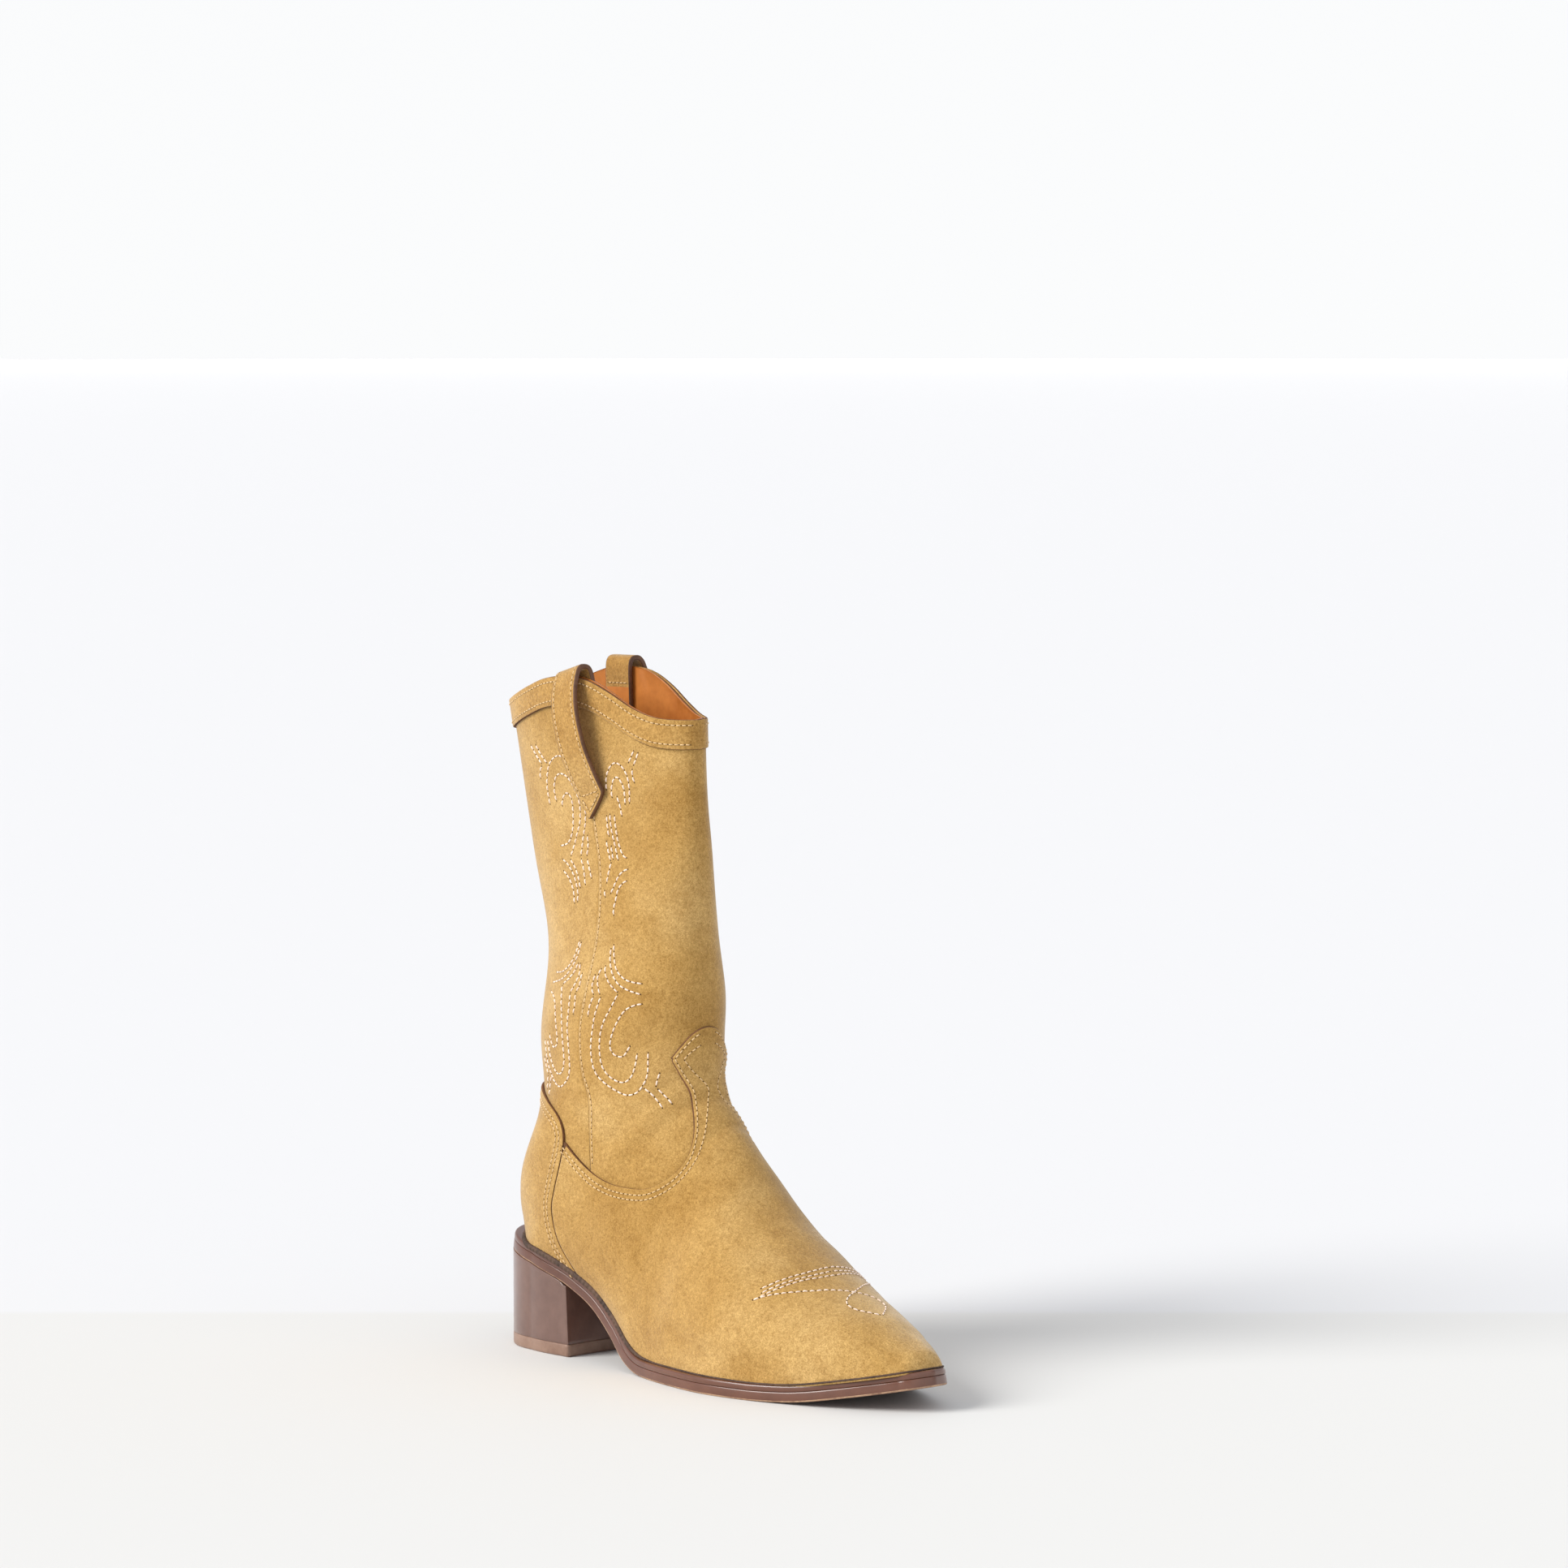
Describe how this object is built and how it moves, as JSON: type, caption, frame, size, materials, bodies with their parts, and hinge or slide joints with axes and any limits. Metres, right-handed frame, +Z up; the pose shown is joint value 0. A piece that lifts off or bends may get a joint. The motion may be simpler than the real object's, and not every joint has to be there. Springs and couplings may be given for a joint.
{
  "type": "western mid-calf boot",
  "caption": "Golden-tan suede western mid-calf boot with pointed toe, block heel, decorative row stitching, looped pull straps and an inner side zip.",
  "frame": {"origin": "centre of the bounding box at the floor", "axes": "+X from heel to toe, +Y towards the inner (medial) side, +Z up"},
  "size_m": [0.2742, 0.085, 0.3093],
  "materials": {
    "suede": "napped golden-tan suede",
    "lining_leather": "smooth orange-tan lining leather",
    "sole_leather": "polished red-brown built leather",
    "lift_rubber": "satin red-brown heel lift",
    "rand_thread": "dark knurled rand",
    "steel": "plain steel",
    "cork": "granular cork",
    "board": "fibre board",
    "stiffener": "thermoplastic stiffener",
    "tape": "black-brown woven zip tape",
    "zip_coil": "bronze nylon coil",
    "antique_brass": "antique brass",
    "puller_metal": "brushed nickel"
  },
  "bodies": {
    "boot": {"outsole": "sole_leather", "welt": "sole_leather", "rand": "rand_thread", "heel_block": "sole_leather", "top_lift": "lift_rubber", "shank": "steel", "cork_filler": "cork", "insole_board": "board", "sock_lining": "lining_leather", "heel_nail_1": "steel", "heel_nail_2": "steel", "heel_nail_3": "steel", "heel_nail_4": "steel", "vamp": "suede", "heel_counter_cover": "suede", "counter_stiffener": "stiffener", "toe_puff": "stiffener", "shaft_front": "suede", "shaft_back": "suede", "collar_front": "suede", "collar_back": "suede", "lining_front": "lining_leather", "lining_back": "lining_leather", "vamp_lining": "lining_leather", "pull_strap_lateral": "suede", "pull_strap_medial": "suede", "zip_tape_front": "tape", "zip_tape_rear": "tape", "zip_teeth_front": "zip_coil", "zip_teeth_rear": "zip_coil", "zip_bottom_stop": "antique_brass"},
    "zip_slider": {"zip_slider": "antique_brass"},
    "zip_puller": {"zip_puller": "puller_metal"}
  },
  "joints": [
    {"name": "zip_run", "type": "hinge", "parent": "boot", "child": "zip_slider", "pos_m": [0.28743, 0.26092, 0.16811], "axis": [0.5385, -0.8377, -0.0914], "range_deg": [0, 15.7]},
    {"name": "puller_swing", "type": "hinge", "parent": "zip_slider", "child": "zip_puller", "pos_m": [-0.08122, 0.02209, 0.22803], "axis": [0.9455, 0.2898, -0.1484], "range_deg": [-3, 150]}
  ]
}
